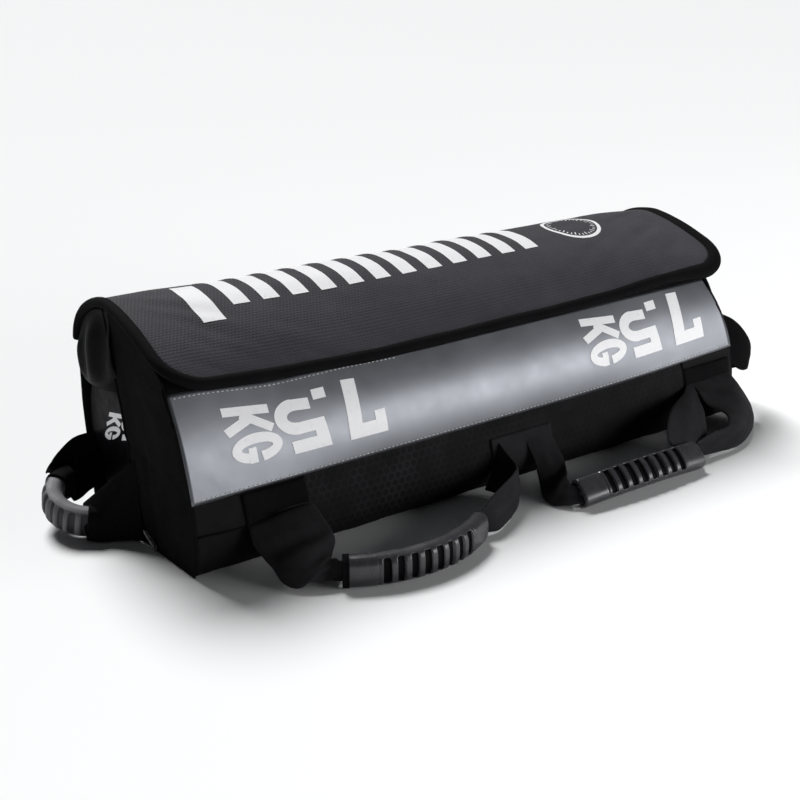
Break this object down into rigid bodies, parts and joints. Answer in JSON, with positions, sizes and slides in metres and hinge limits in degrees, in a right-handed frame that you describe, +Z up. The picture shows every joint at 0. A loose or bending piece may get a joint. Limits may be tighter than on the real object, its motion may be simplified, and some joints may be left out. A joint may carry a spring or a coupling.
{
  "type": "sandbag trainer",
  "caption": "Weighted training bag: a long cloth jacket with a hinged closing lid round a filled core, carried by webbing handles with moulded rubber grips.",
  "frame": {"origin": "middle of the flat base that the bag rests on, under the middle of the bag's length", "axes": "+Z up, +X along the bag to the viewer's right, -Y to the label and the front handles, +Y to the lid's hinge line"},
  "size_m": [0.7514, 0.3083, 0.2077],
  "materials": {
    "black_cloth": "matte coated nylon cloth, nearly black",
    "hexagon_cloth": "black cloth woven with a fine hexagon grid",
    "lid_cloth": "padded charcoal cloth with a fine dimpled face",
    "binding_cloth": "dark ribbed binding tape, rolled over a cord",
    "grey_vinyl": "mid-grey vinyl-faced cloth, satin, printed white",
    "core_cloth": "dark satin lining cloth",
    "core_vinyl": "black vinyl, slightly glossy, printed white",
    "webbing": "matte black webbing",
    "rubber": "moulded dark grey rubber, satin",
    "hook_tape": "black hook tape",
    "loop_tape": "black loop tape",
    "tab_cloth": "pale woven tab"
  },
  "bodies": {
    "jacket": {"base_panel": "black_cloth", "front_panel": "hexagon_cloth", "label_panel": "grey_vinyl", "mouth_flap": "black_cloth", "loop_strip": "loop_tape", "back_panel": "black_cloth", "end_panel_left": "black_cloth", "end_panel_right": "black_cloth", "end_fold_left": "core_cloth", "end_fold_right": "core_cloth", "core_drum": "core_cloth", "core_disc_left": "core_vinyl", "core_disc_right": "core_vinyl", "anchor_left": "webbing", "anchor_middle": "webbing", "anchor_right": "webbing", "side_tab": "tab_cloth"},
    "lid": {"lid_panel": "lid_cloth", "lid_piping": "binding_cloth", "hook_strip": "hook_tape"},
    "handle_front_left": {"grip_front_left": "rubber", "strap_front_left": "webbing"},
    "handle_front_right": {"grip_front_right": "rubber", "strap_front_right": "webbing"},
    "handle_end_left": {"grip_end_left": "rubber", "strap_end_left": "black_cloth"},
    "handle_end_right": {"grip_end_right": "rubber", "strap_end_right": "black_cloth"}
  },
  "joints": [
    {"name": "lid_hinge", "type": "hinge", "parent": "jacket", "child": "lid", "pos_m": [0, 0.1033, 0.15055], "axis": [-1, 0, 0], "range_deg": [0, 170]},
    {"name": "front_left_fold", "type": "hinge", "parent": "jacket", "child": "handle_front_left", "pos_m": [-0.153, -0.09639, 0.04755], "axis": [-1, 0, 0], "range_deg": [0, 100]},
    {"name": "front_right_fold", "type": "hinge", "parent": "jacket", "child": "handle_front_right", "pos_m": [0.108, -0.09639, 0.04755], "axis": [-1, 0, 0], "range_deg": [0, 100]},
    {"name": "end_left_fold", "type": "hinge", "parent": "jacket", "child": "handle_end_left", "pos_m": [-0.3164, 0.057, 0.0753], "axis": [0, 1, 0], "range_deg": [0, 90]},
    {"name": "end_right_fold", "type": "hinge", "parent": "jacket", "child": "handle_end_right", "pos_m": [0.3164, 0.057, 0.1078], "axis": [0, -1, 0], "range_deg": [0, 90]}
  ]
}
